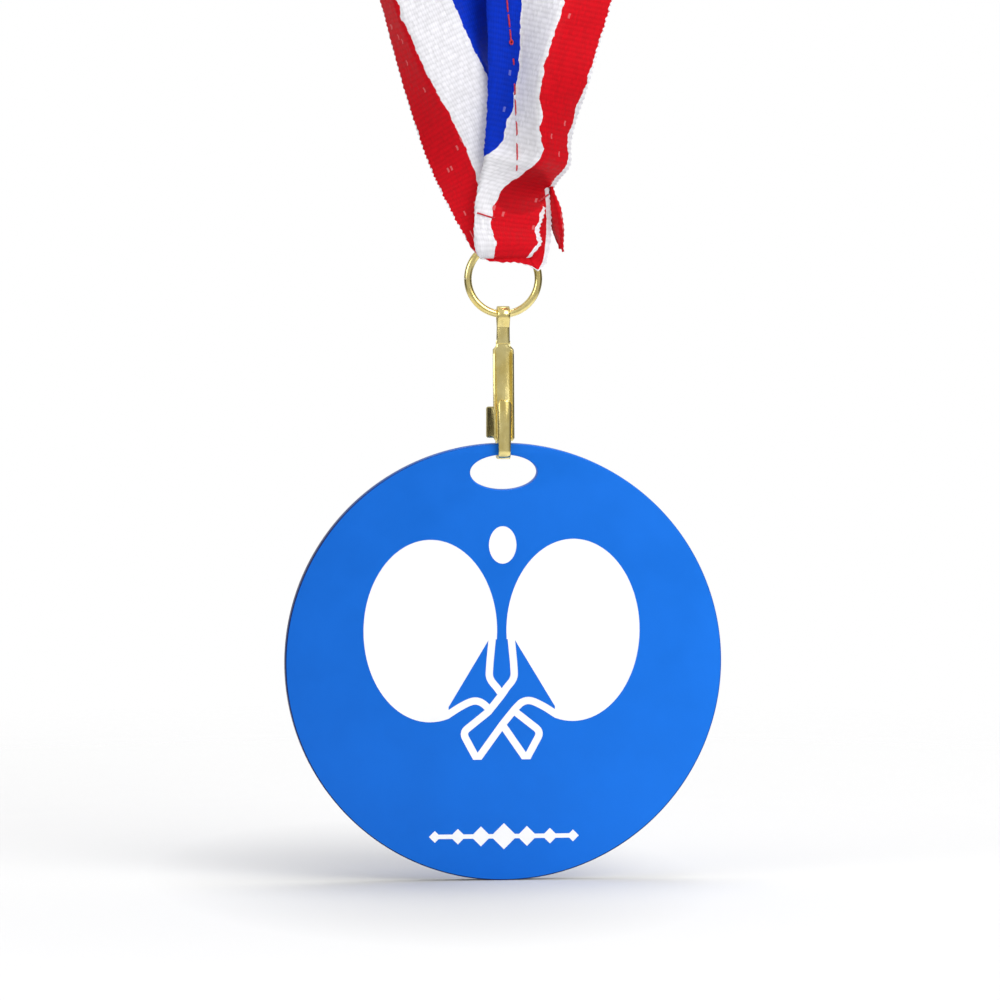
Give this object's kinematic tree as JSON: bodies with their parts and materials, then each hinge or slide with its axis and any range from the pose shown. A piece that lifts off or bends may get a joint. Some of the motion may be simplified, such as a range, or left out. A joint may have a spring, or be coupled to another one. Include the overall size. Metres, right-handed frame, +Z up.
{
  "type": "award medal",
  "caption": "Flat round award medal printed with crossed table tennis rackets, hung by a sprung snap hook and jump ring from a striped neck ribbon.",
  "frame": {"origin": "centre of the disc's flat back face", "axes": "+Y out of the disc's back, -Y out of its printed face, +Z up towards the ribbon, +X to the viewer's right"},
  "size_m": [0.1108, 0.0251, 0.4893],
  "materials": {
    "disc_metal": "satin blue anodised, even all over, with a small rounded edge",
    "print": "smooth opaque white print",
    "brass": "polished yellow brass plate with fine draw lines",
    "ribbon": "ribbed grosgrain in red, white and blue stripes of equal width with a slight satin sheen",
    "thread": "twisted red sewing thread"
  },
  "bodies": {
    "ribbon": {"ribbon_front_strand": "ribbon", "ribbon_back_strand": "ribbon", "ribbon_neck_arch": "ribbon", "ribbon_ring_loop": "ribbon", "ribbon_tail": "ribbon", "seam_thread": "thread", "cinch_thread": "thread"},
    "ring": {"jump_ring": "brass"},
    "clip": {"snap_hook": "brass"},
    "gate": {"gate_leaf": "brass"},
    "medal": {"medal_disc": "disc_metal", "rackets_print": "print", "ball_print": "print", "border_print": "print"}
  },
  "joints": [
    {"name": "ring_swing", "type": "hinge", "parent": "ribbon", "child": "ring", "pos_m": [0, -0.00125, 0.0662], "axis": [1, 0, 0], "range_deg": [-40, 40]},
    {"name": "clip_swing", "type": "hinge", "parent": "ring", "child": "clip", "pos_m": [0, -0.00125, 0.0556], "axis": [1, 0, 0], "range_deg": [-55, 55]},
    {"name": "gate_press", "type": "hinge", "parent": "clip", "child": "gate", "pos_m": [0, -0.0012, 0.0513], "axis": [1, 0, 0], "range_deg": [0, 9], "stiffness_Nm_per_rad": 0.05, "springref_deg": -5.73},
    {"name": "medal_sway", "type": "hinge", "parent": "clip", "child": "medal", "pos_m": [0, -0.00125, 0.03295], "axis": [0, 1, 0], "range_deg": [-12, 12]}
  ]
}
